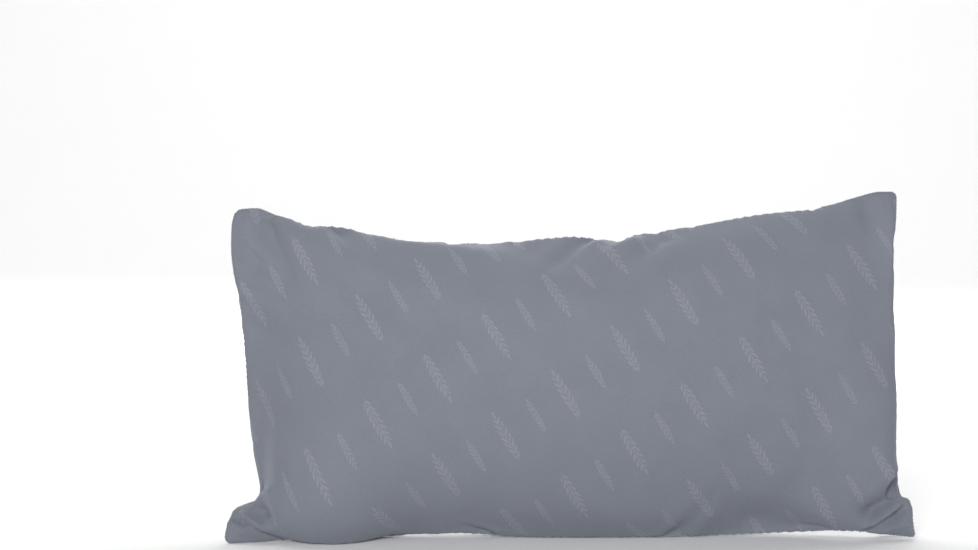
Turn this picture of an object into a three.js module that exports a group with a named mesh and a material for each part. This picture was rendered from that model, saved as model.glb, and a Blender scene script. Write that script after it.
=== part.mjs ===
// A camp pillow: two fabric panels sewn together round a polyester fibre fill, standing upright on its
// lower long seam. Millimetres, +Z up. The front faces -Y, and the origin is under the middle of the
// pillow, on the surface that it stands on.
import * as THREE from "three";

// Driving dimensions.
const CUT_WIDTH = 508; // a panel laid flat, seam to seam
const CUT_HEIGHT = 254;
const LOFT = 98; // thickness through the middle
const FABRIC = 0.8; // one layer of brushed polyester with its nap
const ALLOWANCE = 10; // seam allowance, turned in along the middle plane
const SEAM_GAP = 0.4; // between the two panels where they meet
const FILL_GAP = 0.9; // between the fill and the fabric round it
const THREAD = 0.8; // seam thread across

// Where the corner tips stand, [x, z], and how far each seam bows in between them.
const TIPS = {
  lowLeft: [-250, 2],
  lowRight: [250, 2],
  topLeft: [-243, 241],
  topRight: [237, 254],
};
const BOW = { bottom: -16, top: -31, left: 13, right: -10 };

// How the panel rounds over at the seam, and how far the seam is drawn up off the surface below.
const ROLL_INSET = 1.6;
const ROLL_DEPTH = 1.9;
const SEAM_LIFT = 1.5;

// The stuffing hole, sewn shut last, as a stretch of the left seam from 0 at the floor to 1.
const CLOSING = [0.3, 0.68];

// How the stuffed crown rises from the seams: a lower power rises more steeply.
const RISE = { sides: 0.62, bottom: 0.56, top: 0.82 };
const SIDE_REACH = 2.8; // a higher power keeps the crown full nearer the side seams

// The care label, a tape whose end is caught in the right seam, lying on the back of the pillow.
const LABEL = { length: 42, width: 30, middle: -38, thickness: 0.6, gap: 0.7, fromSeam: 2.5 };

// Points along each long and short side of a ring, and the insets of the rings from the seam.
const LONG_STEPS = 20;
const SHORT_STEPS = 10;
const RIM_INSETS = [0, 0.6, ROLL_INSET];
const BODY_INSETS = [5, 10, 16, 24, 34, 47, 63, 82, 104];
const NOTCH_INSET = 13;
const FILL_INSETS = [9, 16, 24, 34, 47, 63, 82, 104];
const FILL_ROUNDING = 7; // power of the superellipse that rounds the fill's corners
const GATHER = 3; // power that keeps the outer rings even and gathers the inner ones to a point
const THREAD_SEGMENTS = 3; // per half turn round the thread
const THREAD_STEPS = { long: 30, short: 16, part: 8 }; // along each thread
const LABEL_STEPS = 6; // along each side of the label
const LABEL_RINGS = [1 / 3, 2 / 3, 1]; // as shares of the label's size
const NORMAL_STEP = 0.5; // half the distance over which a face's slope is measured

const HALF_WIDTH = CUT_WIDTH / 2;
const HALF_HEIGHT = CUT_HEIGHT / 2;
const FRONT = -1;
const BACK = 1;

const lerp = THREE.MathUtils.lerp;
const hump = (t) => 4 * t * (1 - t);

function material(colour, roughness) {
  return new THREE.MeshStandardMaterial({ color: colour, roughness, metalness: 0 });
}
const shellFabric = material(0x6c7079, 0.85);
const fibre = material(0xe9eaec, 1);
const thread = material(0x8a8e99, 0.6);
const labelTape = material(0xdcdde0, 0.7);

// The four seams in the middle plane, as [x, z] along t from 0 to 1.
function seamAlong(from, to, bowX, bowZ) {
  return (t) => [
    lerp(from[0], to[0], t) + bowX * hump(t),
    lerp(from[1], to[1], t) + bowZ * hump(t),
  ];
}
const bottomSeam = seamAlong(TIPS.lowLeft, TIPS.lowRight, 0, BOW.bottom);
const topSeam = seamAlong(TIPS.topLeft, TIPS.topRight, 0, BOW.top);
const leftSeam = seamAlong(TIPS.lowLeft, TIPS.topLeft, BOW.left, 0);
const rightSeam = seamAlong(TIPS.lowRight, TIPS.topRight, BOW.right, 0);

// Coons patch between the seams: a point of the flat panel to its place in the middle plane.
function inPlane(flatX, flatZ) {
  const s = (flatX / HALF_WIDTH + 1) / 2;
  const t = (flatZ / HALF_HEIGHT + 1) / 2;
  return [0, 1].map((axis) => {
    const ruled =
      lerp(bottomSeam(s)[axis], topSeam(s)[axis], t) +
      lerp(leftSeam(t)[axis], rightSeam(t)[axis], s);
    const corners = lerp(
      lerp(TIPS.lowLeft[axis], TIPS.lowRight[axis], s),
      lerp(TIPS.topLeft[axis], TIPS.topRight[axis], s),
      t,
    );
    return ruled - corners;
  });
}

function insetOf(flatX, flatZ) {
  return Math.min(HALF_WIDTH - Math.abs(flatX), HALF_HEIGHT - Math.abs(flatZ));
}

// The crown along the height of a panel, fuller low down where the stuffing settles.
function riseAt(flatZ) {
  const up = Math.max(0, 1 + flatZ / HALF_HEIGHT);
  const down = Math.max(0, 1 - flatZ / HALF_HEIGHT);
  return up ** RISE.bottom * down ** RISE.top;
}
const FULLEST = (HALF_HEIGHT * (RISE.bottom - RISE.top)) / (RISE.bottom + RISE.top);

// Distance of the panel's outer face from the middle plane: the roll at the seam and the stuffed crown.
function depthAt(flatX, flatZ) {
  const roll = Math.sin((Math.min(1, insetOf(flatX, flatZ) / ROLL_INSET) * Math.PI) / 2);
  const across = Math.max(0, 1 - Math.abs(flatX / HALF_WIDTH) ** SIDE_REACH) ** RISE.sides;
  const crown = (LOFT / 2 - ROLL_DEPTH) * across * (riseAt(flatZ) / riseAt(FULLEST));
  return SEAM_GAP / 2 + ROLL_DEPTH * roll + crown;
}

// The outer face, pressed flat where it stands on the surface.
function outerPoint(flatX, flatZ, side) {
  const [x, z] = inPlane(flatX, flatZ);
  const inset = insetOf(flatX, flatZ);
  const lowest = SEAM_LIFT * Math.max(0, 1 - inset / ROLL_INSET);
  return new THREE.Vector3(x, side * depthAt(flatX, flatZ), Math.max(z, lowest));
}

// The outer face moved inwards along its normal. A negative distance moves it outwards.
function offsetPoint(flatX, flatZ, side, distance) {
  const point = (x, z) => outerPoint(x, z, side);
  const alongX = point(flatX + NORMAL_STEP, flatZ).sub(point(flatX - NORMAL_STEP, flatZ));
  const alongZ = point(flatX, flatZ + NORMAL_STEP).sub(point(flatX, flatZ - NORMAL_STEP));
  const outward = alongX.cross(alongZ).multiplyScalar(-side).normalize();
  return point(flatX, flatZ).addScaledVector(outward, -distance);
}

// A point of the turned-in allowance, at a fixed distance from the middle plane.
function allowancePoint(flatX, flatZ, side, depth) {
  const [x, z] = inPlane(flatX, flatZ);
  const lowest = SEAM_LIFT + insetOf(flatX, flatZ);
  return new THREE.Vector3(x, side * depth, Math.max(z, lowest));
}

// Points round the unit square, anticlockwise as seen from the front.
function squareOutline() {
  const points = [];
  const side = (steps, from, to) => {
    for (let i = 0; i < steps; i++) {
      points.push([lerp(from[0], to[0], i / steps), lerp(from[1], to[1], i / steps)]);
    }
  };
  side(LONG_STEPS, [-1, -1], [1, -1]);
  side(SHORT_STEPS, [1, -1], [1, 1]);
  side(LONG_STEPS, [1, 1], [-1, 1]);
  side(SHORT_STEPS, [-1, 1], [-1, -1]);
  return points;
}
const outline = squareOutline();

// Half width and half height of the ring at an inset. Rings are even borders near the seam and shrink
// to a point at the middle.
function ringSize(inset) {
  const extra = (HALF_WIDTH - HALF_HEIGHT) * (inset / HALF_HEIGHT) ** GATHER;
  return [HALF_WIDTH - inset - extra, HALF_HEIGHT - inset];
}

function ring(inset, place, rounding = 0) {
  const [halfWidth, halfHeight] = ringSize(inset);
  return outline.map(([u, v]) => {
    const over = rounding ? (Math.abs(u) ** rounding + Math.abs(v) ** rounding) ** (1 / rounding) : 1;
    return place((halfWidth * u) / over, (halfHeight * v) / over);
  });
}

// A closed surface through a stack of rings, ending in a point at each end.
function closedSurface(first, rings, last) {
  const count = rings[0].length;
  const end = 1 + rings.length * count;
  const at = (row, i) => 1 + row * count + (i % count);
  const index = [];
  for (let i = 0; i < count; i++) {
    index.push(0, at(0, i), at(0, i + 1));
    index.push(end, at(rings.length - 1, i + 1), at(rings.length - 1, i));
    for (let row = 0; row + 1 < rings.length; row++) {
      index.push(at(row, i), at(row + 1, i), at(row + 1, i + 1));
      index.push(at(row, i), at(row + 1, i + 1), at(row, i + 1));
    }
  }
  const geometry = new THREE.BufferGeometry().setFromPoints([first, ...rings.flat(), last]);
  geometry.setIndex(index);
  geometry.computeVertexNormals();
  return geometry;
}

function mesh(name, geometry, itsMaterial) {
  const made = new THREE.Mesh(geometry, itsMaterial);
  made.name = name;
  return made;
}

// One panel: the outer face, the allowance turned in at the seam, and the inner face.
function panel(name, side) {
  const outer = (x, z) => outerPoint(x, z, side);
  const inner = (x, z) => offsetPoint(x, z, side, FABRIC);
  const allowanceFace = (x, z) => allowancePoint(x, z, side, SEAM_GAP / 2);
  const allowanceBack = (x, z) => allowancePoint(x, z, side, SEAM_GAP / 2 + FABRIC);
  const rings = [
    ...[...RIM_INSETS, ...BODY_INSETS].reverse().map((inset) => ring(inset, outer)),
    ring(ALLOWANCE, allowanceFace),
    ring(ALLOWANCE, allowanceBack),
    ring(ROLL_INSET, allowanceBack),
    ...[ROLL_INSET, ...BODY_INSETS].map((inset) => ring(inset, inner)),
  ];
  const turned = side === FRONT ? rings : rings.map((points) => points.reverse());
  return mesh(name, closedSurface(outer(0, 0), turned, inner(0, 0)), shellFabric);
}

// The stuffing: fills the shell, short of the corners, and closes round the allowance.
function fibreFill() {
  const inside = FABRIC + FILL_GAP;
  const face = (side) => (x, z) => offsetPoint(x, z, side, inside);
  const notch = (side) => (x, z) =>
    allowancePoint(x, z, side, SEAM_GAP / 2 + FABRIC + FILL_GAP);
  const rings = [
    ...[...FILL_INSETS].reverse().map((inset) => ring(inset, face(FRONT), FILL_ROUNDING)),
    ring(NOTCH_INSET, notch(FRONT), FILL_ROUNDING),
    ring(NOTCH_INSET, notch(BACK), FILL_ROUNDING),
    ...FILL_INSETS.map((inset) => ring(inset, face(BACK), FILL_ROUNDING)),
  ];
  return mesh("fibre_fill", closedSurface(face(FRONT)(0, 0), rings, face(BACK)(0, 0)), fibre);
}

// A seam thread, lying in the groove between the two panels just outside the seam line.
function seamThread(name, seam, outward, [from, to], steps) {
  const points = [];
  for (let i = 0; i <= steps; i++) {
    const [x, z] = seam(lerp(from, to, i / steps));
    const seamHeight = Math.max(z, SEAM_LIFT);
    points.push(
      new THREE.Vector3(x + outward[0] * THREAD, 0, seamHeight + outward[1] * THREAD),
    );
  }
  const geometry = new THREE.ExtrudeGeometry(
    new THREE.Shape().absarc(0, 0, THREAD / 2, 0, 2 * Math.PI),
    { extrudePath: new THREE.CatmullRomCurve3(points), steps, curveSegments: THREAD_SEGMENTS },
  );
  return mesh(name, geometry, thread);
}

// The points round a label lying flat, from -1 to 1 each way, anticlockwise as seen from the back.
function labelOutline() {
  const corners = [
    [-1, -1],
    [-1, 1],
    [1, 1],
    [1, -1],
  ];
  return corners.flatMap((corner, side) => {
    const next = corners[(side + 1) % corners.length];
    return Array.from({ length: LABEL_STEPS }, (_, i) =>
      corner.map((value, axis) => lerp(value, next[axis], i / LABEL_STEPS)),
    );
  });
}

function careLabel() {
  const centre = HALF_WIDTH - LABEL.fromSeam - LABEL.length / 2;
  const place = (u, v, height) =>
    offsetPoint(
      centre + (u * LABEL.length) / 2,
      LABEL.middle + (v * LABEL.width) / 2,
      BACK,
      -height,
    );
  const border = labelOutline();
  const labelRing = (size, height) => border.map(([u, v]) => place(u * size, v * size, height));
  const over = LABEL.gap + LABEL.thickness;
  const rings = [
    ...LABEL_RINGS.map((size) => labelRing(size, over)),
    ...[...LABEL_RINGS].reverse().map((size) => labelRing(size, LABEL.gap)),
  ];
  return mesh("care_label", closedSurface(place(0, 0, over), rings, place(0, 0, LABEL.gap)), labelTape);
}

// The threads stop this far short of a corner tip or of the next thread, as a share of the seam.
const LONG_END = 0.008;
const SHORT_END = 0.012;
const DOWN = [0, -1];
const UP = [0, 1];
const LEFT = [-1, 0];
const RIGHT = [1, 0];
const alongSeam = [LONG_END, 1 - LONG_END];
const alongSide = [SHORT_END, 1 - SHORT_END];
const belowClosing = [SHORT_END, CLOSING[0] - SHORT_END];
const aboveClosing = [CLOSING[1] + SHORT_END, 1 - SHORT_END];

const pillow = new THREE.Group();
pillow.add(
  panel("front_panel", FRONT),
  panel("back_panel", BACK),
  fibreFill(),
  seamThread("top_seam_thread", topSeam, UP, alongSeam, THREAD_STEPS.long),
  seamThread("bottom_seam_thread", bottomSeam, DOWN, alongSeam, THREAD_STEPS.long),
  seamThread("right_seam_thread", rightSeam, RIGHT, alongSide, THREAD_STEPS.short),
  seamThread("left_seam_thread_lower", leftSeam, LEFT, belowClosing, THREAD_STEPS.part),
  seamThread("closing_stitch", leftSeam, LEFT, CLOSING, THREAD_STEPS.part),
  seamThread("left_seam_thread_upper", leftSeam, LEFT, aboveClosing, THREAD_STEPS.part),
  careLabel(),
);

export default pillow;
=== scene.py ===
import math

import bpy
import numpy as np
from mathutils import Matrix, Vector


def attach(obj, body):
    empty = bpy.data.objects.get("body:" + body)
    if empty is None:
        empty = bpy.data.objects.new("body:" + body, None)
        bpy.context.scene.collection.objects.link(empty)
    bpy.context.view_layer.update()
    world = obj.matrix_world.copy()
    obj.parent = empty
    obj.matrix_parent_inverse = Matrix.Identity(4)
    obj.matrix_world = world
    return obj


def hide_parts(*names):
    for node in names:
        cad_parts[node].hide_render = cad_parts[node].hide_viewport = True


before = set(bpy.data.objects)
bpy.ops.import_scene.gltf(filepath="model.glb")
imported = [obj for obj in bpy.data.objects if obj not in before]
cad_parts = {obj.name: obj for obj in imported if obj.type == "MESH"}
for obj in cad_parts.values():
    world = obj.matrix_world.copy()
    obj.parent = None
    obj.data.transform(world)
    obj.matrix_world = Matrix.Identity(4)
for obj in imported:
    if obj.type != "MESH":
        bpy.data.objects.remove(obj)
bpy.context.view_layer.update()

MM = 0.001

# The cloth: a panel laid flat, and the grid that it is simulated on.
CUT_WIDTH = 508 * MM
CUT_HEIGHT = 254 * MM
CELLS_WIDE = 110
CELLS_HIGH = 55
FINER = 4  # the finished surface has this many cells to each simulated one
FABRIC = 0.8 * MM  # thickness, nap included

FRONT, BACK = 0, 1
BODY = "root"

# Simulation. Seams move from the flat pattern to their places over the first frames.
FRAMES = 34
SEAM_FRAMES = 12
PRESSURE = 34.0
TOP_PRESSURE = 0.35  # at the top seam, as a share of that at the bottom, because the fill settles
STIFFNESS = 25.0
SHEAR = 8.0
BENDING = 4.0
DAMPING = 0.5
AIR_DAMPING = 1.0
VERTEX_MASS = 0.0004
START_HEIGHT = -17 * MM
START_PUFF = 3 * MM
GROUND_DROP = 3 * MM  # the ground starts this far under the flat sheets and rises to the floor
GROUND_FRICTION = 20
CONTACT = MM  # the distance at which the cloth meets the ground
SOLVER_STEPS = 6  # to a frame
TOP_GATHER = 0.03  # the share of a long seam that is taken up by puckers finer than the grid
BOTTOM_GATHER = 0.01
GATHER_FADE = 20 * MM

# The seams as points (x, y, z) in millimetres. The cloth lies along them at an even pitch. The fill
# doesn't reach the corners, so a side seam jogs where the stuffed body ends and the corner's flap begins.
# The top seam meanders a little through the thickness, which takes up what the stuffing draws in.
# The bottom seam lies on the floor, between the two halves of the body.
SEAMS = {
    "left": [
        (-250, -26, 0), (-250.5, -25, 6), (-249.5, -23, 11), (-247.5, -20, 17), (-245, -17, 21),
        (-240, -13, 24.5), (-232, -7, 26.5), (-225.5, -2, 28.5), (-225.5, 2, 36), (-227, 3, 46),
        (-228, 3, 57), (-229, 2, 74), (-230.5, 0, 92), (-229.5, 0, 116), (-230.5, 0, 140),
        (-235, 0, 160), (-240.5, 0, 176), (-245.5, 0, 196), (-247, 0, 212), (-246.5, 0, 228),
        (-243.5, 0, 240.5),
    ],
    "right": [
        (252.5, -4, 1), (250.8, -5, 8), (250, -5, 14), (249.6, -5, 20), (248, -4, 26), (242, -2, 30.5),
        (239.3, 0, 35), (239, 0, 44), (238.2, 0, 57), (235.6, 0, 95), (233, 0, 140), (232.6, 0, 175),
        (233.6, 0, 203), (232.8, 0, 214), (235.5, 0, 224), (236.4, 0, 240), (236, 0, 253.5),
    ],
    "top": [
        (-243.5, 0, 240.5), (-228, 0, 241.5), (-218, 0, 238), (-208, 1, 235), (-181, 3, 225.5),
        (-163, 2, 222.5), (-139, -2, 220), (-110, -4, 217), (-65, 2, 214.5), (-22, 4, 219), (9, -3, 221.5),
        (25, -4, 217.5), (57, 0, 223), (87, 4, 228), (123, 0, 234.5), (148, -3, 239), (185, 0, 243.5),
        (207, 2, 249.5), (225, 0, 253.5), (236, 0, 253.5),
    ],
    "bottom": [
        (-250, -26, 0), (-228, -20, 0.2), (-205, -12, 0.5), (-180, -5, 0.5), (-153, 0, 1), (-110, 2, 3),
        (-77, 1, 3.5), (-44, 0, 1), (0, -1, 0.5), (54, 0, 0.5), (86, 3, 0.8), (118, 8, 1), (150, 10, 2),
        (174, 6, 3.6), (192, 1, 5), (206, -1, 5), (228, -3, 3), (252.5, -4, 1),
    ],
}
TOP_FLAP = 38 * MM  # the fill ends this far from an upper corner tip
BOTTOM_FLAP = 32 * MM
FLAP_FADE = 22 * MM
# The bottom seam is held fast, and the others only this near a corner. Elsewhere SEAM_PIN holds them.
CORNER_PIN = 60 * MM
SEAM_PIN = 0.3
CURVE_POINTS = 20  # to a cell, on a seam's curve before it is measured


def lerp(a, b, t):
    return a + (b - a) * t


def monotone_cubic(where, values, wanted):
    """Values between given ones, with no overshoot."""
    span = np.diff(where)
    slope = np.diff(values) / span
    tangent = np.zeros_like(values)
    tangent[0], tangent[-1] = slope[0], slope[-1]
    for i in range(1, len(values) - 1):
        if slope[i - 1] * slope[i] > 0:
            left, right = span[i - 1], span[i]
            weight = 3 * (left + right)
            tangent[i] = weight / ((2 * right + left) / slope[i - 1] + (right + 2 * left) / slope[i])
    i = np.clip(np.searchsorted(where, wanted, side="right") - 1, 0, len(where) - 2)
    t = (wanted - where[i]) / span[i]
    return (
        (2 * t**3 - 3 * t**2 + 1) * values[i]
        + (t**3 - 2 * t**2 + t) * span[i] * tangent[i]
        + (3 * t**2 - 2 * t**3) * values[i + 1]
        + (t**3 - t**2) * span[i] * tangent[i + 1]
    )


def distances_along(path):
    return np.concatenate([[0], np.cumsum(np.linalg.norm(np.diff(path, axis=0), axis=1))])


def at_distances(path, wanted):
    lengths = distances_along(path)
    return np.stack([np.interp(wanted, lengths, column) for column in path.T], axis=1)


def seam_points(name, count):
    """count + 1 points at an even pitch along a seam."""
    given = np.array(SEAMS[name], float) * MM
    lengths = distances_along(given)
    wanted = np.linspace(0, lengths[-1], CURVE_POINTS * count)
    curve = np.stack([monotone_cubic(lengths, column, wanted) for column in given.T], axis=1)
    return at_distances(curve, np.linspace(0, distances_along(curve)[-1], count + 1))


def stretched_between_seams():
    """A flat sheet filling the outline of the seams (a Coons patch), as points by column and row."""
    left, right = seam_points("left", CELLS_HIGH), seam_points("right", CELLS_HIGH)
    bottom, top = seam_points("bottom", CELLS_WIDE), seam_points("top", CELLS_WIDE)
    s = np.linspace(0, 1, CELLS_WIDE + 1)[:, None, None]
    t = np.linspace(0, 1, CELLS_HIGH + 1)[None, :, None]
    ruled = lerp(bottom[:, None], top[:, None], t) + lerp(left[None], right[None], s)
    return ruled - lerp(lerp(bottom[0], bottom[-1], s), lerp(top[0], top[-1], s), t)


def on_seam(column, row):
    return column in (0, CELLS_WIDE) or row in (0, CELLS_HIGH)


def simulate():
    """The stuffed cloth, as points [side, column, row]. The two sides share their points on the seams."""
    drawn_in = stretched_between_seams()
    index = np.zeros((2, CELLS_WIDE + 1, CELLS_HIGH + 1), int)
    flat, placed, pins, pressed = [], [], [], []
    for side in (FRONT, BACK):
        for column in range(CELLS_WIDE + 1):
            for row in range(CELLS_HIGH + 1):
                seam = on_seam(column, row)
                if side == BACK and seam:
                    index[side, column, row] = index[FRONT, column, row]
                    continue
                index[side, column, row] = len(flat)
                from_bottom = CUT_HEIGHT * row / CELLS_HIGH
                from_top = CUT_HEIGHT - from_bottom
                gathered = 1 - TOP_GATHER * math.exp(-from_top / GATHER_FADE)
                gathered -= BOTTOM_GATHER * math.exp(-from_bottom / GATHER_FADE)
                x = lerp(-CUT_WIDTH / 2, CUT_WIDTH / 2, column / CELLS_WIDE) * gathered
                z = START_HEIGHT + CUT_HEIGHT * row / CELLS_HIGH
                puff = 0 if seam else START_PUFF * (1 if side == BACK else -1)
                flat.append((x, puff, z))
                placed.append(tuple(drawn_in[column, row]))
                from_corner = math.hypot(
                    min(column, CELLS_WIDE - column) * CUT_WIDTH / CELLS_WIDE,
                    min(row, CELLS_HIGH - row) * CUT_HEIGHT / CELLS_HIGH,
                )
                pins.append((1 if from_corner < CORNER_PIN or row == 0 else SEAM_PIN) if seam else 0)
                height = row / CELLS_HIGH
                flap = lerp(BOTTOM_FLAP, TOP_FLAP, height)
                pressure = lerp(1, TOP_PRESSURE, height)
                pressed.append(pressure * np.clip((from_corner - flap) / FLAP_FADE, 0, 1))
    faces = []
    for side in (FRONT, BACK):
        at = index[side]
        for column in range(CELLS_WIDE):
            for row in range(CELLS_HIGH):
                corners = [at[column, row], at[column + 1, row], at[column + 1, row + 1], at[column, row + 1]]
                faces.append(corners if side == FRONT else corners[::-1])

    mesh = bpy.data.meshes.new("envelope")
    mesh.from_pydata(flat, [], faces)
    envelope = bpy.data.objects.new("envelope", mesh)
    bpy.context.scene.collection.objects.link(envelope)
    envelope.shape_key_add(name="flat")
    drawing = envelope.shape_key_add(name="drawn in")
    drawing.data.foreach_set("co", np.array(placed, np.float32).ravel())
    for value, when in ((0, 1), (1, SEAM_FRAMES)):
        drawing.value = value
        drawing.keyframe_insert("value", frame=when)
    for name, weights in (("pins", pins), ("pressed", pressed)):
        group = envelope.vertex_groups.new(name=name)
        for vertex, weight in enumerate(weights):
            if weight:
                group.add([vertex], weight, "REPLACE")

    bpy.ops.mesh.primitive_plane_add(size=2)
    ground = bpy.context.object
    ground.modifiers.new("collision", "COLLISION")
    ground.collision.cloth_friction = GROUND_FRICTION
    ground.collision.thickness_outer = CONTACT
    for height, when in ((START_HEIGHT - GROUND_DROP, 1), (0, SEAM_FRAMES)):
        ground.location.z = height
        ground.keyframe_insert("location", index=2, frame=when)

    cloth = envelope.modifiers.new("cloth", "CLOTH")
    settings = cloth.settings
    settings.quality = SOLVER_STEPS
    settings.mass = VERTEX_MASS
    settings.tension_stiffness = settings.compression_stiffness = STIFFNESS
    settings.shear_stiffness = SHEAR
    settings.bending_stiffness = BENDING
    settings.tension_damping = settings.compression_damping = settings.shear_damping = DAMPING
    settings.air_damping = AIR_DAMPING
    settings.vertex_group_mass = "pins"
    settings.use_pressure = True
    settings.uniform_pressure_force = PRESSURE
    settings.vertex_group_pressure = "pressed"
    settings.effector_weights.gravity = 0
    cloth.collision_settings.use_collision = True
    cloth.collision_settings.use_self_collision = False
    cloth.collision_settings.distance_min = CONTACT
    cloth.point_cache.frame_end = FRAMES
    for when in range(1, FRAMES + 1):
        bpy.context.scene.frame_set(when)
    evaluated = envelope.evaluated_get(bpy.context.evaluated_depsgraph_get())
    points = np.zeros(len(flat) * 3, np.float32)
    evaluated.data.vertices.foreach_get("co", points)
    for made in (envelope, ground):
        bpy.data.objects.remove(made, do_unlink=True)
    bpy.context.scene.frame_set(1)
    return points.reshape(-1, 3)[index].astype(float)


# ---------------------------------------------------------------- surface

def finer_along(values, times, axis):
    """Catmull-Rom interpolation of a grid along one axis, to times as many cells."""
    grid = np.moveaxis(values, axis, 0)
    before = 2 * grid[:1] - grid[1:2]
    after = 2 * grid[-1:] - grid[-2:-1]
    padded = np.concatenate([before, grid, after])
    where = np.arange((len(grid) - 1) * times + 1) / times
    cell = np.minimum(where.astype(int), len(grid) - 2)
    t = (where - cell).reshape((-1,) + (1,) * (grid.ndim - 1))
    a, b, c, d = (padded[cell + k] for k in range(4))
    made = 0.5 * (2 * b + (c - a) * t + (2 * a - 5 * b + 4 * c - d) * t**2 + (3 * b - a - 3 * c + d) * t**3)
    return np.moveaxis(made, 0, axis)


def finer(grid, times):
    return finer_along(finer_along(grid, times, 0), times, 1)


SMOOTHINGS = 14
SMOOTH_SHARE = 0.5  # of the way to the mean of the four neighbours, each time
SMOOTH_FROM = 70 * MM  # of a corner, and less inside that
SMOOTH_LEAST = 0.35


def smoothed(grid):
    """The grid without wrinkles too fine for its cells. The seams stay, and the corners nearly so."""
    across = np.minimum(np.arange(CELLS_WIDE + 1), np.arange(CELLS_WIDE + 1)[::-1]) * CUT_WIDTH / CELLS_WIDE
    up = np.minimum(np.arange(CELLS_HIGH + 1), np.arange(CELLS_HIGH + 1)[::-1]) * CUT_HEIGHT / CELLS_HIGH
    from_corner = np.hypot.outer(across, up)
    weight = np.clip(from_corner / SMOOTH_FROM, SMOOTH_LEAST, 1)[1:-1, 1:-1, None]
    grid = grid.copy()
    for _ in range(SMOOTHINGS):
        around = (grid[:-2, 1:-1] + grid[2:, 1:-1] + grid[1:-1, :-2] + grid[1:-1, 2:]) / 4
        grid[1:-1, 1:-1] += SMOOTH_SHARE * weight * (around - grid[1:-1, 1:-1])
    return grid


def normals_of(grid, side):
    """Unit normals that face out of the pillow."""
    along = np.gradient(grid, axis=0)
    up = np.gradient(grid, axis=1)
    normal = np.cross(along, up)
    normal *= 1 if side == FRONT else -1
    return normal / np.maximum(np.linalg.norm(normal, axis=2, keepdims=True), 1e-12)


class Noise:
    """Smooth noise on a grid: random values on a coarse lattice, interpolated."""

    def __init__(self, seed):
        self.random = np.random.default_rng(seed)

    def at(self, x, y, size_x, size_y=None):
        size_y = size_y or size_x
        px = (x - x.min()) / size_x
        py = (y - y.min()) / size_y
        lattice = self.random.uniform(-1, 1, (int(px.max()) + 4, int(py.max()) + 4))
        i, j = px.astype(int), py.astype(int)
        wx, wy = px - i, py - j
        total = 0
        for di, fx in enumerate(self._weights(wx)):
            for dj, fy in enumerate(self._weights(wy)):
                total = total + fx * fy * lattice[i + di, j + dj]
        return total

    @staticmethod
    def _weights(t):
        """Quadratic B-spline over three lattice points."""
        return 0.5 * (1 - t) ** 2, 0.5 + t - t**2, 0.5 * t**2


def flat_coordinates(columns, rows):
    x = np.linspace(-CUT_WIDTH / 2, CUT_WIDTH / 2, columns)
    z = np.linspace(-CUT_HEIGHT / 2, CUT_HEIGHT / 2, rows)
    return np.meshgrid(x, z, indexing="ij")


# Puckers. Each stitch pulls a short one, longer ones run in from the seam, and the seam lies in a groove.
PUCKER_PITCH = 7 * MM
PUCKER_HEIGHT = 0.55 * MM
PUCKER_REACH = 4 * MM
PUCKER_DRIFT = 30 * MM  # the size of the noise that shifts puckers along the seam
PUCKER_STRENGTH = (0.6, 0.6)  # the mean, and how far noise moves it
PUCKER_CHANGE = 18 * MM  # the size of that noise
LONG_HEIGHT = 1.1 * MM
LONG_SIZE = (6 * MM, 45 * MM)  # along the seam, and in from it
LONG_START = 2 * MM
LONG_REACH = 16 * MM
GROOVE_DEPTH = 0.5 * MM
GROOVE_REACH = 1.2 * MM
CORNER_CALM = 0.3  # the puckers' strength in a corner, which rises to 1 over CALM_REACH
CALM_REACH = 45 * MM


def seam_detail(x, z, seed):
    """Height of the puckers that the stitching leaves along the four seams."""
    noise = Noise(seed)
    half_x, half_z = CUT_WIDTH / 2, CUT_HEIGHT / 2
    height = np.zeros_like(x)
    from_corner = np.hypot(half_x - np.abs(x), half_z - np.abs(z))
    in_corner = np.clip(from_corner / CALM_REACH, CORNER_CALM, 1)
    mean, change = PUCKER_STRENGTH
    for distance, along in ((half_x - x, z), (half_x + x, z), (half_z - z, x), (half_z + z, x)):
        drift = noise.at(along, distance, PUCKER_DRIFT)
        strength = mean + change * noise.at(along, distance, PUCKER_CHANGE)
        pucker = np.cos(2 * math.pi * (along / PUCKER_PITCH + drift))
        height += PUCKER_HEIGHT * in_corner * strength * pucker * np.exp(-distance / PUCKER_REACH)
        longer = noise.at(along, distance, *LONG_SIZE)
        fade = np.exp(-distance / LONG_REACH) * (1 - np.exp(-distance / LONG_START))
        height += LONG_HEIGHT * in_corner * longer * fade
        height -= GROOVE_DEPTH * np.exp(-distance / GROOVE_REACH)
    return height


LUMPS = ((1.4 * MM, 70 * MM), (0.5 * MM, 28 * MM))  # each as (height, size)
LUMP_FADE = 40 * MM  # from the seams


def lumps(x, z, seed):
    """The unevenness of the fill under the cloth."""
    noise = Noise(seed)
    inset = np.minimum(CUT_WIDTH / 2 - np.abs(x), CUT_HEIGHT / 2 - np.abs(z))
    fade = np.clip(inset / LUMP_FADE, 0, 1)
    return fade * sum(height * noise.at(x, z, size) for height, size in LUMPS)


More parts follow.
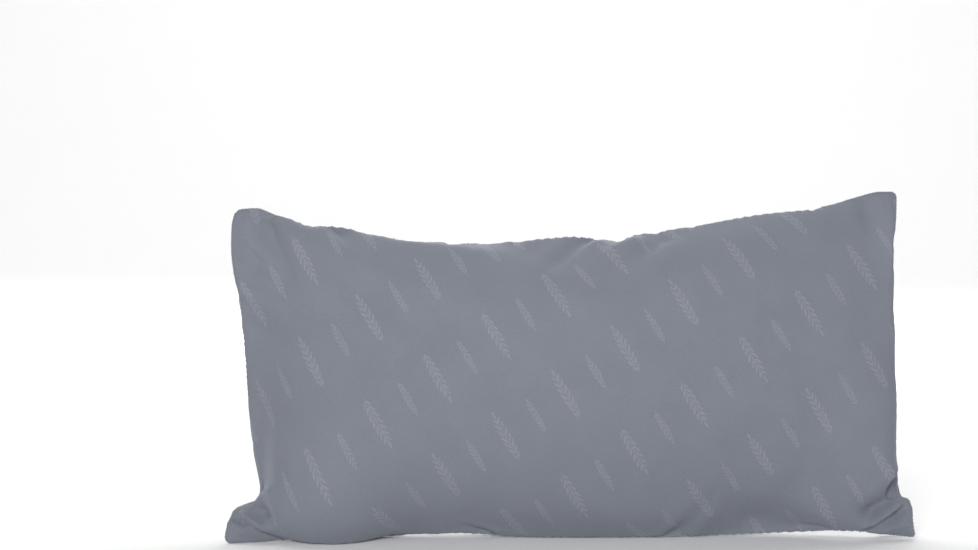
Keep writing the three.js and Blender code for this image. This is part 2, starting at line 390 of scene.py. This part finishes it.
# Folds, in millimetres on the flat cloth: from (x, z), where the fold is deepest, to (x, z), where it
# ends, its half width, its depth, and whether both panels fold together. A negative depth is a ridge.
FOLDS = (
    ((-173, 127), (-147, 84), 7, 4.5, False),
    ((-229, 123), (-193, 46), 7, 6.0, False),
    ((-251, 101), (-204, 70), 5, 3.6, False),
    ((-255, 61), (-196, 32), 6, 4.6, True),
    ((14, 124), (-30, 72), 6, 4.0, False),
    ((52, 113), (2, 78), 7, -3.4, False),
    ((72, 114), (28, 68), 8, 3.0, False),
    ((226, 125), (228, 96), 6, 2.2, True),
    ((180, -129), (108, -102), 11, 6, False),
    ((126, -118), (100, -104), 20, 4, False),
    ((72, -129), (108, -78), 6, 4, False),
    ((-58, -128), (-90, -110), 4.5, 5.5, False),
    ((244, -87), (212, -108), 8, 14, False),
    ((220, -104), (241, -93), 7, 8, False),
    ((252, -84), (241, -94), 4, 5, False),
    ((248, -99), (214, -117), 3.5, -3, True),
    ((246, -103), (215, -124), 3.5, 9, True),
    ((239, -109), (219, -123), 7, 4.5, True),
    ((218, -122), (241, -107), 3, 4, True),
    ((-230, -96), (-251, -95), 7, 6, True),
    ((-252, -102), (-214, -113), 3.2, -3.4, True),
    ((-249, -107), (-223, -120), 3.2, 6.5, True),
    ((-212, -124), (-241, -112), 3, 3.5, True),
)

FOLD_TAPER = 1.2  # the power by which a fold runs out
LIP = 0.35  # the raised lips beside a fold, as a share of its depth
LIP_PLACE = 2  # half widths from its middle
# How far from a seam a fold gets its depth. The seam itself stays where it is.
RIDGE_FADE = 8 * MM
SHARED_FADE = 5 * MM
FOLD_FADE = 2 * MM


def folds(x, z, side):
    """Height of the folds. On the back, only those that both panels take, turned inside out."""
    height = np.zeros_like(x)
    inset = np.minimum(CUT_WIDTH / 2 - np.abs(x), CUT_HEIGHT / 2 - np.abs(z))
    for start, end, half_width, depth, both in FOLDS:
        if side == BACK and not both:
            continue
        start, end = np.array(start) * MM, np.array(end) * MM
        length = np.hypot(*(end - start))
        run = (end - start) / length
        along = ((x - start[0]) * run[0] + (z - start[1]) * run[1]) / length
        across = ((z - start[1]) * run[0] - (x - start[0]) * run[1]) / (half_width * MM)
        ahead = np.clip(1 - along, 0, 1) ** FOLD_TAPER
        behind = np.exp(-(np.minimum(along, 0) * length / (half_width * MM)) ** 2)
        section = np.exp(-(across**2)) - LIP * np.exp(-((np.abs(across) - LIP_PLACE) ** 2))
        seam_fade = RIDGE_FADE if depth < 0 else SHARED_FADE if both else FOLD_FADE
        height -= depth * MM * np.minimum(ahead, behind) * section * (1 - np.exp(-inset / seam_fade))
    return height if side == FRONT else -height


# Where each side of the body sags onto the floor: the middle and half length along X, and how far, in
# millimetres.
SAGS = {
    FRONT: ((-170, 38, 19), (22, 80, 9), (205, 24, 2)),
    BACK: ((-170, 60, 14), (-40, 90, 9), (110, 90, 11)),
}
SAG_REACH = 30 * MM  # above the bottom seam, where the body sags the most
SAG_WIDENING = 0.7  # of the sag, outwards
SAG_FADE = 40 * MM  # from the side seams
LOWEST = 0.6 * MM  # above the floor, for a surface that has sagged


def sagged(grid, side):
    """The side with its lower part sunk onto the floor and widened."""
    x, z = flat_coordinates(*grid.shape[:2])
    amount = sum(drop * MM * np.exp(-(((x / MM - middle) / half) ** 2)) for middle, half, drop in SAGS[side])
    amount = amount * np.clip((CUT_WIDTH / 2 - np.abs(x)) / SAG_FADE, 0, 1)
    reach = (z + CUT_HEIGHT / 2) / SAG_REACH
    sag = amount * reach * np.exp(1 - reach)
    lowered = grid.copy()
    lowered[..., 1] += SAG_WIDENING * sag * (1 if side == BACK else -1)
    lowered[..., 2] -= sag
    inner = lowered[1:-1, 1:-1, 2]
    np.maximum(inner, np.minimum(LOWEST, grid[1:-1, 1:-1, 2]), out=inner)
    return lowered


TOUCHING = 2.4 * MM  # between the outer faces where two layers of cloth lie on each other
TOUCHING_FROM = 2  # cells from a seam


def kept_apart(front, back, cells):
    """The two sides, pushed apart along Y where the flat corners let them touch, from cells off a seam."""
    columns, rows = front.shape[:2]
    from_side = np.minimum(np.arange(columns), np.arange(columns)[::-1])
    from_end = np.minimum(np.arange(rows), np.arange(rows)[::-1])
    wanted = TOUCHING * np.clip(np.minimum.outer(from_side, from_end) / cells, 0, 1)
    short = np.maximum(wanted - (back[..., 1] - front[..., 1]), 0) / 2
    front[..., 1] -= short
    back[..., 1] += short
    return front, back


def settled(sheets):
    """Both simulated sides, smooth, sunk onto the floor and clear of each other."""
    front, back = (sagged(smoothed(sheets[side]), side) for side in (FRONT, BACK))
    return kept_apart(front, back, TOUCHING_FROM)


def picked(values, i, j):
    """The values of a grid at fractional columns and rows."""
    column = np.minimum(i.astype(int), values.shape[0] - 2)
    row = np.minimum(j.astype(int), values.shape[1] - 2)
    across, up = (i - column)[..., None], (j - row)[..., None]
    low = lerp(values[column, row], values[column + 1, row], across)
    high = lerp(values[column, row + 1], values[column + 1, row + 1], across)
    return lerp(low, high, up)


TIP_RADIUS = 4.5 * MM


def rounded(grid):
    """The grid with its four corner tips drawn in to a rounded outline."""
    counts = np.array(grid.shape[:2])
    middle = (counts - 1) / 2
    reach = TIP_RADIUS / np.array([CUT_WIDTH, CUT_HEIGHT]) * (counts - 1)
    index = np.stack(np.meshgrid(*(np.arange(count) for count in counts), indexing="ij"), axis=-1)
    from_middle = index - middle
    into_tip = np.maximum(np.abs(from_middle) - (middle - reach), 0) / reach
    drawn = into_tip.max(axis=2) / np.maximum(np.hypot(into_tip[..., 0], into_tip[..., 1]), 1e-9)
    in_tip = into_tip.min(axis=2, keepdims=True) > 0
    kept = np.where(in_tip, middle - reach + into_tip * drawn[..., None] * reach, np.abs(from_middle))
    place = middle + np.sign(from_middle) * kept
    return picked(grid, place[..., 0], place[..., 1])


PUCKER_SEED, LUMP_SEED, FILL_SEED = 3, 11, 31


def dressed(sheets):
    """Both sides at full detail, meeting along the seams."""
    made = []
    for side in (FRONT, BACK):
        points = finer(sheets[side], FINER)
        x, z = flat_coordinates(*points.shape[:2])
        height = seam_detail(x, z, PUCKER_SEED + side) + lumps(x, z, LUMP_SEED + side) + folds(x, z, side)
        made.append(points + height[..., None] * normals_of(points, side))
    front, back = (rounded(points) for points in kept_apart(*made, TOUCHING_FROM * FINER))
    seam = np.ones(front.shape[:2], bool)
    seam[1:-1, 1:-1] = False
    front[seam] = back[seam] = (front[seam] + back[seam]) / 2
    return front, back


# ---------------------------------------------------------------- meshes

def new_piece(name, vertices, faces, material, uv=None):
    """A smooth-shaded mesh in the scene. Its UVs, if given, are places on the flat cloth."""
    mesh = bpy.data.meshes.new(name)
    mesh.from_pydata([tuple(v) for v in vertices], [], faces)
    if uv is not None:
        layer = mesh.uv_layers.new(name="flat")
        corners = np.zeros(len(mesh.loops), np.int32)
        mesh.loops.foreach_get("vertex_index", corners)
        layer.data.foreach_set("uv", uv[corners].astype(np.float32).ravel())
    mesh.polygons.foreach_set("use_smooth", np.ones(len(mesh.polygons), bool))
    mesh.materials.append(material)
    mesh.validate()
    piece = bpy.data.objects.new(name, mesh)
    bpy.context.scene.collection.objects.link(piece)
    return piece


def grid_faces(columns, rows, first=0):
    at = first + np.arange(columns * rows).reshape(columns, rows)
    return np.stack([at[:-1, :-1], at[1:, :-1], at[1:, 1:], at[:-1, 1:]], axis=-1).reshape(-1, 4)


def border(columns, rows, first=0):
    """Indices round the edge of a grid: along the bottom, up the far side and back."""
    at = first + np.arange(columns * rows).reshape(columns, rows)
    return [*at[:-1, 0], *at[-1, :-1], *at[:0:-1, -1], *at[0, :0:-1]]


def inner_face(points, side):
    """A coarser copy of a panel's face, set back by the cloth and by what it would cut off the folds."""
    columns, rows = points.shape[:2]
    normals = normals_of(points, side)
    coarse = points[::FINER, ::FINER]
    i, j = np.meshgrid(np.arange(columns) / FINER, np.arange(rows) / FINER, indexing="ij")
    cut = ((picked(coarse, i, j) - points) * normals).sum(axis=2)
    padded = np.pad(np.maximum(cut, 0), FINER)
    around = range(2 * FINER + 1)
    most = np.max([padded[a:a + columns:FINER, b:b + rows:FINER] for a in around for b in around], axis=0)
    return coarse - (FABRIC + most)[..., None] * normals[::FINER, ::FINER]


SEAM_GAP = 0.15 * MM  # from the seam line to each panel


def panel(name, points, side, material):
    """A closed shell of cloth: the fine outer face, a coarser inner face, and the rim between them."""
    columns, rows = points.shape[:2]
    outer = points + np.array([0, SEAM_GAP if side == BACK else -SEAM_GAP, 0])
    inner = inner_face(outer, side)
    inner_columns, inner_rows = inner.shape[:2]
    vertices = np.concatenate([outer.reshape(-1, 3), inner.reshape(-1, 3)])
    first = columns * rows
    faces = [list(f) for f in grid_faces(columns, rows)]
    faces += [list(f[::-1]) for f in grid_faces(inner_columns, inner_rows, first)]
    outer_ring = border(columns, rows)
    inner_ring = border(inner_columns, inner_rows, first)
    for i, start in enumerate(inner_ring):
        end = inner_ring[(i + 1) % len(inner_ring)]
        fine = [outer_ring[(i * FINER + k) % len(outer_ring)] for k in range(FINER + 1)]
        faces.append([start, end, *fine[::-1]])
    if side == BACK:
        faces = [face[::-1] for face in faces]
    x, z = flat_coordinates(columns, rows)
    uv = np.stack([x / CUT_WIDTH + 0.5, z / CUT_HEIGHT + 0.5], axis=-1)
    uv = np.concatenate([uv.reshape(-1, 2), uv[::FINER, ::FINER].reshape(-1, 2)])
    return new_piece(name, vertices, faces, material, uv)


def closed_pair(name, outer, inner, material):
    """A closed body between two grids of the same size, the first facing out."""
    columns, rows = outer.shape[:2]
    first = columns * rows
    faces = [list(f) for f in grid_faces(columns, rows)]
    faces += [list(f[::-1]) for f in grid_faces(columns, rows, first)]
    ring = border(columns, rows)
    for start, end in zip(ring, ring[1:] + ring[:1]):
        faces.append([start, start + first, end + first, end])
    return new_piece(name, np.concatenate([outer.reshape(-1, 3), inner.reshape(-1, 3)]), faces, material)


FILL_MARGIN = 8  # cells from the seams
FILL_GAP = 7 * MM  # from the simulated cloth
FILL_GAP_CHANGE = 2 * MM  # how far noise moves that
FILL_LUMP = 14 * MM  # the size of that noise
BEHIND_FOLDS = 1.8  # of a fold's depth, added to the gap
FILL_LEAST = 0.1  # of the space between the two sides
FILL_FINER = 2


def fibre_fill(material):
    """The stuffing, lumpy, inside the simulated cloth and short of the seams."""
    inside = slice(FILL_MARGIN, -FILL_MARGIN)
    sheets = [cloth[side][inside, inside] for side in (FRONT, BACK)]
    middle = (sheets[FRONT] + sheets[BACK]) / 2
    made = []
    for side in (FRONT, BACK):
        half = sheets[side] - middle
        depth = np.maximum(np.linalg.norm(half, axis=2), 1e-6)
        x, z = (flat[inside, inside] for flat in flat_coordinates(CELLS_WIDE + 1, CELLS_HIGH + 1))
        gap = FILL_GAP + FILL_GAP_CHANGE * Noise(FILL_SEED + side).at(x, z, FILL_LUMP)
        gap += BEHIND_FOLDS * np.maximum(-folds(x, z, side), 0)
        kept = np.maximum(1 - gap / depth, FILL_LEAST)
        made.append(finer(middle + half * kept[..., None], FILL_FINER))
    return closed_pair("fibre_fill_lumps", made[FRONT], made[BACK], material)


def resampled(path, pitch):
    """Points at an even pitch along a path, with the directions there."""
    wanted = np.arange(pitch / 2, distances_along(path)[-1], pitch)
    direction = at_distances(path, wanted + pitch / 4) - at_distances(path, wanted - pitch / 4)
    return at_distances(path, wanted), direction / np.linalg.norm(direction, axis=1, keepdims=True)


STITCH_AROUND = 8
# Rings along a stitch, as (place in half lengths, radius as a share of the thread's).
STITCH_PROFILE = ((-1.0, 0.25), (-0.8, 0.7), (-0.35, 1.0), (0.35, 1.0), (0.8, 0.7), (1.0, 0.25))
STITCH_HALF = 0.42  # half a stitch's length, as a share of the pitch
STITCH_TILT = 0.25  # radians, at most
STITCH_DIP = 0.35  # of the radius, by which the ends go into the cloth


def stitches(name, path, outward, pitch, radius, material, seed):
    """A line of stitches, each a short length of thread that is thickest in its middle."""
    random = np.random.default_rng(seed)
    points, directions = resampled(path, pitch)
    vertices, faces = [], []
    for point, direction in zip(points, directions):
        tilt = random.uniform(-STITCH_TILT, STITCH_TILT)
        sideways = np.cross(direction, outward)
        sideways /= np.linalg.norm(sideways)
        direction = direction * math.cos(tilt) + sideways * math.sin(tilt)
        across = np.cross(direction, outward)
        across /= np.linalg.norm(across)
        up = np.cross(across, direction)
        first = len(vertices)
        for along, width in STITCH_PROFILE:
            centre = point + direction * along * pitch * STITCH_HALF - up * radius * STITCH_DIP * along**2
            for k in range(STITCH_AROUND):
                turn = 2 * math.pi * k / STITCH_AROUND
                vertices.append(centre + radius * width * (across * math.cos(turn) + up * math.sin(turn)))
        for ring in range(len(STITCH_PROFILE) - 1):
            for k in range(STITCH_AROUND):
                start = first + ring * STITCH_AROUND
                a, b = start + k, start + (k + 1) % STITCH_AROUND
                faces.append([a, a + STITCH_AROUND, b + STITCH_AROUND, b])
        last = first + (len(STITCH_PROFILE) - 1) * STITCH_AROUND
        faces.append([first + k for k in range(STITCH_AROUND)])
        faces.append([last + k for k in reversed(range(STITCH_AROUND))])
    return new_piece(name, vertices, faces, material)


LABEL_LENGTH = 40 * MM
LABEL_WIDTH = 28 * MM
LABEL_CELLS = (40, 28)
LABEL_TAPE = 0.35 * MM
LABEL_IN = 1.5 * MM  # from the seam to its caught end
LABEL_MIDDLE = -38 * MM  # from the middle of the panel, along Z
LABEL_LIFT = 0.8 * MM  # off the cloth, everywhere
LABEL_CURL = 2.2 * MM  # more at its free end
LABEL_BOW = 0.5 * MM  # more along its middle


def care_label(material):
    """A blank woven tape whose end is caught in the right seam, lying on the back of the pillow."""
    surface = sides[BACK]
    normals = normals_of(surface, BACK)
    columns, rows = LABEL_CELLS
    u, v = np.meshgrid(np.linspace(0, 1, columns + 1), np.linspace(0, 1, rows + 1), indexing="ij")
    x = CUT_WIDTH / 2 - LABEL_IN - u * LABEL_LENGTH
    z = LABEL_MIDDLE + (v - 0.5) * LABEL_WIDTH
    i = (x / CUT_WIDTH + 0.5) * (surface.shape[0] - 1)
    j = (z / CUT_HEIGHT + 0.5) * (surface.shape[1] - 1)
    normal = picked(normals, i, j)
    lift = LABEL_LIFT + LABEL_CURL * u**3 + LABEL_BOW * np.sin(math.pi * v) * u
    bottom = picked(surface, i, j) + normal * lift[..., None]
    top = bottom + normal * LABEL_TAPE
    return closed_pair("care_label_tape", top, bottom, material)


# ---------------------------------------------------------------- materials

class Shader:
    """Short names for building a node material."""

    def __init__(self, name):
        self.material = bpy.data.materials.new(name)
        self.material.use_nodes = True
        self.tree = self.material.node_tree
        self.surface = self.tree.nodes["Principled BSDF"]

    def node(self, kind, **settings):
        made = self.tree.nodes.new(kind)
        for name, value in settings.items():
            setattr(made, name, value)
        return made

    def feed(self, socket, value):
        if isinstance(value, bpy.types.NodeSocket):
            self.tree.links.new(value, socket)
        else:
            socket.default_value = value

    def maths(self, operation, *inputs):
        made = self.node("ShaderNodeMath", operation=operation)
        for socket, value in zip(made.inputs, inputs):
            self.feed(socket, value)
        return made.outputs[0]

    def noise(self, vector, scale, detail=2.0, roughness=0.5):
        made = self.node("ShaderNodeTexNoise")
        self.feed(made.inputs["Vector"], vector)
        made.inputs["Scale"].default_value = scale
        made.inputs["Detail"].default_value = detail
        made.inputs["Roughness"].default_value = roughness
        return made.outputs["Fac"]

    def between(self, value, low, high, to_low=0.0, to_high=1.0):
        made = self.node("ShaderNodeMapRange", interpolation_type="SMOOTHSTEP")
        for socket, given in zip(made.inputs, (value, low, high, to_low, to_high)):
            self.feed(socket, given)
        return made.outputs[0]

    def mix(self, share, first, second):
        made = self.node("ShaderNodeMix", data_type="RGBA")
        self.feed(made.inputs["Factor"], share)
        self.feed(made.inputs["A"], first)
        self.feed(made.inputs["B"], second)
        return made.outputs["Result"]

    def bump(self, height, distance, strength=1.0, after=None):
        made = self.node("ShaderNodeBump")
        made.inputs["Strength"].default_value = strength
        made.inputs["Distance"].default_value = distance
        self.feed(made.inputs["Height"], height)
        if after is not None:
            self.feed(made.inputs["Normal"], after)
        return made.outputs["Normal"]

    def constant(self, **values):
        for name, value in values.items():
            self.surface.inputs[name.replace("_", " ")].default_value = value


def srgb(red, green, blue):
    """An sRGB colour from 0 to 255, as linear RGBA."""
    def linear(value):
        value /= 255
        return value / 12.92 if value <= 0.04045 else ((value + 0.055) / 1.055) ** 2.4
    return (linear(red), linear(green), linear(blue), 1)


# The print: fern sprigs on a slanting lattice, every other one small, every other row upside down.
SPRIG_STEP = (21.6 * MM, 15.3 * MM)  # from a sprig to the next in its row, which has the other size
SPRIG_ROW = (92.2 * MM, -11.5 * MM)  # from a row to the next
SPRIG_START = (-97 * MM, 6.5 * MM)  # the middle of a large sprig
SPRIG_TILT = math.radians(-60)
SPRIG_SMALL = 0.7  # of a large sprig's size
# Each leaf as (place along the stem, place off it, half length, half width, slant), sizes in millimetres.
LEAVES = [
    (-15.5, 1.5, 2.4, 0.75, 26), (-10.8, 1.9, 2.8, 0.85, 26), (-6.0, 2.2, 3.1, 0.9, 26),
    (-1.0, 2.3, 3.2, 0.9, 26), (4.0, 2.2, 3.0, 0.9, 26), (8.8, 1.9, 2.7, 0.85, 26),
    (13.2, 1.5, 2.3, 0.75, 26),
]
SPRIG_TIP = (17.8, 0, 2.8, 0.9, 0)
SPRIG_STEM = (-1, 0, 19, 0.45, 0)
LEAF_EDGE = (1.25, 0.8)  # a leaf fades in between these values of its ellipse's squared radius


def sprigs(s, x, y, start, scale):
    """1 on a sprig and 0 between them, from the flat cloth's x and y in metres."""
    step = (2 * SPRIG_STEP[0], 2 * SPRIG_STEP[1])
    determinant = step[0] * SPRIG_ROW[1] - step[1] * SPRIG_ROW[0]
    dx = s.maths("SUBTRACT", x, start[0])
    dy = s.maths("SUBTRACT", y, start[1])

    def combined(a, b):
        return s.maths("MULTIPLY_ADD", dx, a, s.maths("MULTIPLY", dy, b))

    place = s.maths("ROUND", combined(SPRIG_ROW[1] / determinant, -SPRIG_ROW[0] / determinant))
    row = s.maths("ROUND", combined(-step[1] / determinant, step[0] / determinant))

    def offset(d, axis):
        moved = s.maths("MULTIPLY_ADD", place, -step[axis], d)
        return s.maths("MULTIPLY_ADD", row, -SPRIG_ROW[axis], moved)

    ox, oy = offset(dx, 0), offset(dy, 1)
    odd_row = s.maths("ABSOLUTE", s.maths("MODULO", row, 2.0))
    turned = s.maths("MULTIPLY_ADD", odd_row, -2 / (scale * MM), 1 / (scale * MM))
    cos, sin = math.cos(SPRIG_TILT), math.sin(SPRIG_TILT)
    along = s.maths("MULTIPLY", turned, s.maths("MULTIPLY_ADD", ox, cos, s.maths("MULTIPLY", oy, sin)))
    off = s.maths("MULTIPLY", turned, s.maths("MULTIPLY_ADD", ox, -sin, s.maths("MULTIPLY", oy, cos)))
    off = s.maths("ABSOLUTE", off)

    def leaf(at, away, half_length, half_width, slant):
        c, n = math.cos(math.radians(slant)), math.sin(math.radians(slant))
        a = s.maths("SUBTRACT", along, at)
        b = s.maths("SUBTRACT", off, away)
        p = s.maths("MULTIPLY_ADD", a, c / half_length, s.maths("MULTIPLY", b, n / half_length))
        q = s.maths("MULTIPLY_ADD", a, -n / half_width, s.maths("MULTIPLY", b, c / half_width))
        reach = s.maths("MULTIPLY_ADD", p, p, s.maths("MULTIPLY", q, q))
        return s.between(reach, *LEAF_EDGE)

    mask = leaf(*SPRIG_TIP)
    for each in (SPRIG_STEM, *LEAVES):
        mask = s.maths("MAXIMUM", mask, leaf(*each))
    return mask


def print_mask(s, x, y):
    """The large sprigs and the small ones between them."""
    small_start = (SPRIG_START[0] + SPRIG_STEP[0], SPRIG_START[1] + SPRIG_STEP[1])
    small = sprigs(s, x, y, small_start, SPRIG_SMALL)
    return s.maths("MAXIMUM", sprigs(s, x, y, SPRIG_START, 1), small)


DARKER, LIGHTER = srgb(100, 104, 113), srgb(116, 120, 129)
NAP_COLOUR = srgb(97, 100, 109)
PRINT_COLOUR = srgb(119, 122, 131)
SHEEN_TINT = srgb(205, 210, 222)
YARN_PITCH = 0.9 * MM
SLUBS = (260, 2600, 1)  # cells of noise to a metre, along a yarn and across it


def shell_fabric():
    """Brushed polyester: a mottled ground with nap, slubs, a fine weave and the worn print."""
    s = Shader("shell_fabric")
    uv = s.node("ShaderNodeUVMap", uv_map="flat").outputs["UV"]
    split = s.node("ShaderNodeSeparateXYZ")
    s.feed(split.inputs[0], uv)
    x = s.maths("MULTIPLY_ADD", split.outputs["X"], CUT_WIDTH, -CUT_WIDTH / 2)
    y = s.maths("MULTIPLY_ADD", split.outputs["Y"], CUT_HEIGHT, -CUT_HEIGHT / 2)
    place = s.node("ShaderNodeCombineXYZ")
    s.feed(place.inputs["X"], x)
    s.feed(place.inputs["Y"], y)
    place = place.outputs[0]

    mottle = s.noise(place, scale=28, detail=3)
    nap = s.noise(place, scale=900)
    streaks = s.node("ShaderNodeMapping")
    streaks.inputs["Scale"].default_value = SLUBS
    s.feed(streaks.inputs["Vector"], place)
    slub = s.noise(streaks.outputs[0], scale=1)

    mottled = s.between(mottle, low=0.35, high=0.65, to_low=0.42, to_high=0.58)
    napped = s.between(nap, low=0.3, high=0.7, to_low=0, to_high=0.35)
    ground = s.mix(napped, s.mix(mottled, DARKER, LIGHTER), NAP_COLOUR)
    worn = s.between(s.noise(place, scale=420), low=0.3, high=0.6, to_low=0.45)
    mask = s.maths("MULTIPLY", print_mask(s, x, y), worn)
    s.feed(s.surface.inputs["Base Color"], s.mix(mask, ground, PRINT_COLOUR))

    warp = s.maths("SINE", s.maths("MULTIPLY", x, 2 * math.pi / YARN_PITCH))
    weft = s.maths("SINE", s.maths("MULTIPLY", y, 2 * math.pi / YARN_PITCH))
    weave = s.maths("MULTIPLY", warp, weft)
    soft = s.bump(nap, distance=0.5 * MM, strength=0.5)
    soft = s.bump(slub, distance=0.4 * MM, strength=0.35, after=soft)
    s.feed(s.surface.inputs["Normal"], s.bump(weave, distance=0.08 * MM, strength=0.4, after=soft))
    s.feed(s.surface.inputs["Roughness"], s.between(mask, low=0, high=1, to_low=0.86, to_high=0.74))
    s.constant(Sheen_Weight=0.35, Sheen_Roughness=0.5, Specular_IOR_Level=0.25)
    s.surface.inputs["Sheen Tint"].default_value = SHEEN_TINT
    return s.material


def fibre():
    """Loose white stuffing."""
    s = Shader("fibre")
    place = s.node("ShaderNodeTexCoord").outputs["Object"]
    clump = s.noise(place, scale=120, detail=4, roughness=0.65)
    strands = s.noise(place, scale=1400, detail=3, roughness=0.7)
    s.feed(s.surface.inputs["Base Color"], s.mix(clump, srgb(214, 216, 219), srgb(240, 241, 243)))
    clumped = s.bump(clump, distance=3 * MM, strength=0.5)
    s.feed(s.surface.inputs["Normal"], s.bump(strands, distance=0.8 * MM, strength=0.6, after=clumped))
    s.constant(Roughness=0.95, Sheen_Weight=0.5, Specular_IOR_Level=0.2)
    return s.material


def sewing_thread():
    """Thread a little lighter than the cloth."""
    s = Shader("sewing_thread")
    place = s.node("ShaderNodeTexCoord").outputs["Object"]
    twist = s.noise(place, scale=2200, detail=1)
    s.feed(s.surface.inputs["Base Color"], s.mix(twist, srgb(118, 122, 132), srgb(154, 158, 168)))
    s.feed(s.surface.inputs["Normal"], s.bump(twist, distance=0.2 * MM, strength=0.5))
    s.constant(Roughness=0.6, Sheen_Weight=0.2, Specular_IOR_Level=0.35)
    return s.material


def label_tape():
    """Off-white woven tape with fine ribs."""
    s = Shader("label_tape")
    place = s.node("ShaderNodeTexCoord").outputs["Object"]
    ribs = s.node("ShaderNodeTexWave", wave_type="BANDS", bands_direction="Z")
    s.feed(ribs.inputs["Vector"], place)
    ribs.inputs["Scale"].default_value = 260
    soil = s.noise(place, scale=60, detail=3)
    s.feed(s.surface.inputs["Base Color"], s.mix(soil, srgb(212, 213, 216), srgb(226, 227, 229)))
    s.feed(s.surface.inputs["Normal"], s.bump(ribs.outputs["Fac"], distance=0.1 * MM, strength=0.4))
    s.constant(Roughness=0.5, Sheen_Weight=0.15, Specular_IOR_Level=0.4)
    return s.material


# ---------------------------------------------------------------- the pillow

def add(piece, node):
    """The piece, on the pillow's body and in place of a CAD node."""
    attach(piece, BODY)
    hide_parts(node)
    return piece


CLOSING = (0.3, 0.68)  # the stuffing hole, sewn shut last, as shares of the left seam from the floor
# Each kind of stitch as (pitch, radius of the thread). The hole is closed with larger ones.
SEAM_STITCH = (2.75 * MM, 0.34 * MM)
CLOSING_STITCH = (4.2 * MM, 0.5 * MM)
CLOSING_SEED = 9

cloth = settled(simulate())
fabric = shell_fabric()
thread = sewing_thread()
sides = dressed(cloth)

fill = add(fibre_fill(fibre()), "fibre_fill")
front = add(panel("front_panel_cloth", sides[FRONT], FRONT, fabric), "front_panel")
back = add(panel("back_panel_cloth", sides[BACK], BACK, fabric), "back_panel")

seam_line = (sides[FRONT] + sides[BACK]) / 2
left_line, right_line = seam_line[0], seam_line[-1]
closing = [round(share * (len(left_line) - 1)) for share in CLOSING]
SEWN = (
    ("top_seam_thread", seam_line[:, -1], (0, 0, 1)),
    ("bottom_seam_thread", seam_line[:, 0], (0, 0, -1)),
    ("right_seam_thread", right_line, (1, 0, 0)),
    ("left_seam_thread_lower", left_line[:closing[0]], (-1, 0, 0)),
    ("left_seam_thread_upper", left_line[closing[1]:], (-1, 0, 0)),
)
for seed, (node, path, outward) in enumerate(SEWN):
    piece = stitches(node.replace("thread", "stitches"), path, outward, *SEAM_STITCH, thread, seed)
    add(piece, node)
closing_path = left_line[closing[0]:closing[1]]
add(
    stitches("closing_stitches", closing_path, (-1, 0, 0), *CLOSING_STITCH, thread, CLOSING_SEED),
    "closing_stitch",
)
label = add(care_label(label_tape()), "care_label")


# ---------------------------------------------------------------- studio

PAPER = (0.9, 0.9, 0.9, 1)
SWEEP_STEPS = 16  # in the quarter turn from floor to backdrop


def studio():
    """A pale floor that curves up into a backdrop."""
    shader = Shader("studio_paper")
    shader.surface.inputs["Base Color"].default_value = PAPER
    shader.constant(Roughness=0.9, Specular_IOR_Level=0.1)
    half_width, near, far, radius, top = 6.0, -4.0, 2.6, 1.2, 5.0
    turn = [math.radians(90 * i / SWEEP_STEPS) for i in range(SWEEP_STEPS + 1)]
    profile = [(near, 0)] + [(far + radius * math.sin(a), radius * (1 - math.cos(a))) for a in turn]
    profile.append((far + radius, top))
    vertices = [(x, y, z) for x in (-half_width, half_width) for y, z in profile]
    count = len(profile)
    faces = [(i, i + count, i + count + 1, i + 1) for i in range(count - 1)]
    floor = new_piece("studio_sweep", vertices, faces, shader.material)


# Area lights as (name, place, what it points at, size, watts).
ON_PILLOW = (0, 0, 0.12)
LIGHTS = (
    ("key", (-0.35, -2.0, 0.7), ON_PILLOW, (0.6, 0.6), 35),
    ("fill", (0.5, -2.8, 0.25), ON_PILLOW, (1.6, 0.8), 17),
    ("back", (0.5, 2.2, 0.8), ON_PILLOW, (1.2, 0.8), 15),
    ("backdrop", (0, 1.2, 3.0), (0, 2.5, 0), (4.4, 1.8), 100),
)
WORLD_STRENGTH = 0.22


def area_light(name, place, target, size, power):
    data = bpy.data.lights.new(name, "AREA")
    data.shape = "RECTANGLE"
    data.size, data.size_y = size
    data.energy = power
    light = bpy.data.objects.new(name, data)
    light.visible_camera = False
    light.location = place
    light.rotation_euler = (Vector(target) - Vector(place)).to_track_quat("-Z", "Y").to_euler()
    bpy.context.scene.collection.objects.link(light)


def camera(target, distance, elevation, lens):
    """A level view along +Y, raised by elevation degrees."""
    data = bpy.data.cameras.new("camera")
    data.lens = lens
    data.sensor_width = 36
    made = bpy.data.objects.new("camera", data)
    rise = math.radians(elevation)
    back_off = Vector((0, -math.cos(rise), math.sin(rise)))
    made.location = Vector(target) + distance * back_off
    made.rotation_euler = (-back_off).to_track_quat("-Z", "Y").to_euler()
    bpy.context.scene.collection.objects.link(made)
    bpy.context.scene.camera = made


studio()
for light in LIGHTS:
    area_light(*light)
world = bpy.data.worlds.new("studio")
world.use_nodes = True
background = world.node_tree.nodes["Background"]
background.inputs["Color"].default_value = (1, 1, 1, 1)
background.inputs["Strength"].default_value = WORLD_STRENGTH
bpy.context.scene.world = world
bpy.context.scene.view_settings.view_transform = "Standard"
camera(target=(-59.6 * MM, -20 * MM, 194.3 * MM), distance=1.955, elevation=4, lens=100)
